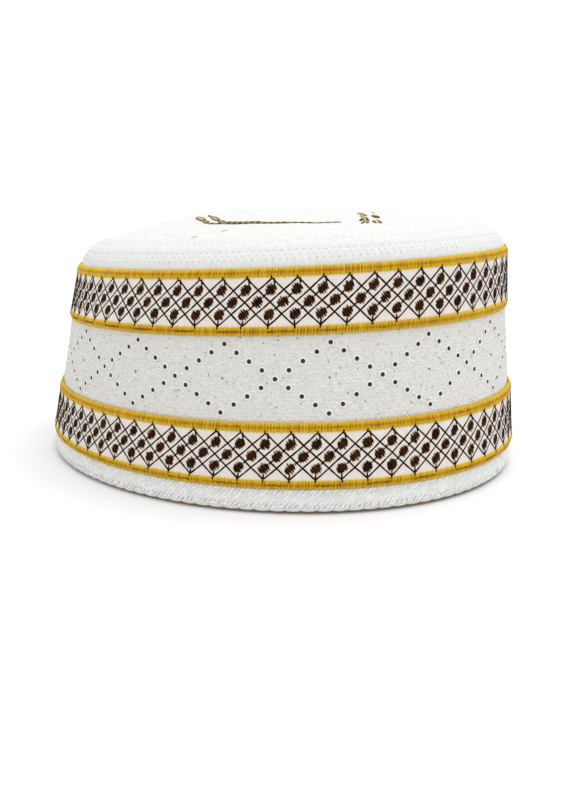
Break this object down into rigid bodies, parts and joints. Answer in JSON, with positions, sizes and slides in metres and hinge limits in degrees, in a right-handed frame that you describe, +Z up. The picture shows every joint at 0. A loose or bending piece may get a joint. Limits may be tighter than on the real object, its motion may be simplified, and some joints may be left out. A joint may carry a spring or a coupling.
{
  "type": "embroidered kufi cap",
  "caption": "Brimless oval cap with a pierced side wall, lattice ribbons between satin-stitched borders, a low domed crown and a corded hem.",
  "frame": {"origin": "middle of the foot, on the surface that the cap rests on", "axes": "+Z up; the cap's length runs along Y, its front is at -Y, and +X is across it"},
  "size_m": [0.1762, 0.2001, 0.0962],
  "materials": {
    "crown_cloth": "white quilted cotton, matte",
    "white_cloth": "white cotton with fine embroidered texture and eyelets, matte",
    "ribbon": "smooth off-white ribbon with dark brown thread lattice",
    "gold_thread": "golden yellow satin stitch, soft sheen",
    "hem_cloth": "cool white corded cotton, matte"
  },
  "bodies": {
    "root": {"crown": "crown_cloth", "side_wall": "white_cloth", "lower_band": "ribbon", "upper_band": "ribbon", "border_1": "gold_thread", "border_2": "gold_thread", "border_3": "gold_thread", "border_4": "gold_thread", "hem": "hem_cloth"}
  },
  "joints": []
}
